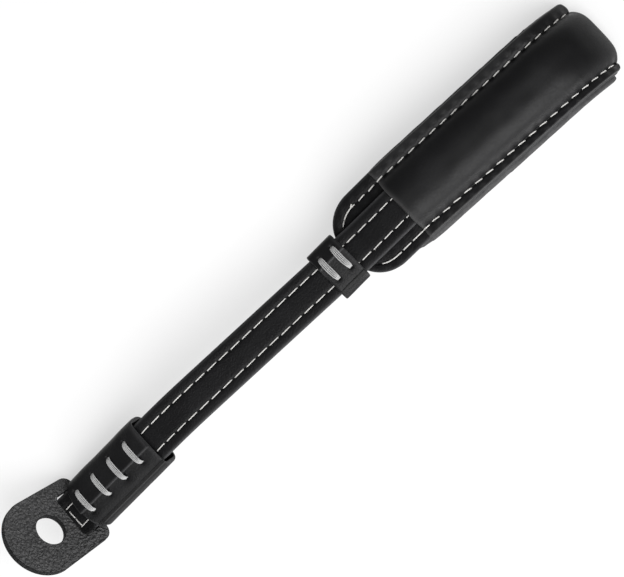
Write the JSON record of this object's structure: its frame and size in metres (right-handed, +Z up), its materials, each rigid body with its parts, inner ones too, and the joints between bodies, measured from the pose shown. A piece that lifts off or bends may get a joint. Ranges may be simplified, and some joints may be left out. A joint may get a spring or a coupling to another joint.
{
  "type": "camera hand grip strap",
  "caption": "Leather hand grip strap with a swinging screw tab, a stitched end sleeve, a sliding keeper loop and a padded grip over a double band.",
  "frame": {"origin": "centre of the bounding box's bottom face, on the surface that the strap stands on", "axes": "+X along the strap from the tab to the padded grip, +Y across it, +Z up"},
  "size_m": [0.23, 0.029, 0.0277],
  "materials": {
    "tab_leather": "pebbled dark grey, matt",
    "band_leather": "fine grained black, satin",
    "wrap_leather": "fine grained black, satin",
    "pad_leather": "smooth black with a soft sheen",
    "lining_leather": "soft matt black",
    "foam": "dark foam, out of sight",
    "waxed_cord": "light grey waxed cord"
  },
  "bodies": {
    "strap": {"band_front": "band_leather", "band_back": "band_leather", "sleeve": "wrap_leather", "sleeve_stitch_1": "waxed_cord", "sleeve_stitch_2": "waxed_cord", "sleeve_stitch_3": "waxed_cord", "sleeve_stitch_4": "waxed_cord", "pad_base": "band_leather", "pad_cover": "pad_leather", "pad_lining": "lining_leather", "pad_foam": "foam"},
    "tab": {"tab": "tab_leather"},
    "keeper": {"keeper": "wrap_leather", "keeper_stitch_1": "waxed_cord", "keeper_stitch_2": "waxed_cord"}
  },
  "joints": [
    {"name": "tab_swing", "type": "hinge", "parent": "strap", "child": "tab", "pos_m": [-0.09272, -0.0004, 0.00394], "axis": [0, 1, 0], "range_deg": [-165, 5]},
    {"name": "keeper_slide", "type": "slide", "parent": "strap", "child": "keeper", "axis": [0.9963, 0, -0.0856], "range_m": [-0.05, 0]}
  ]
}
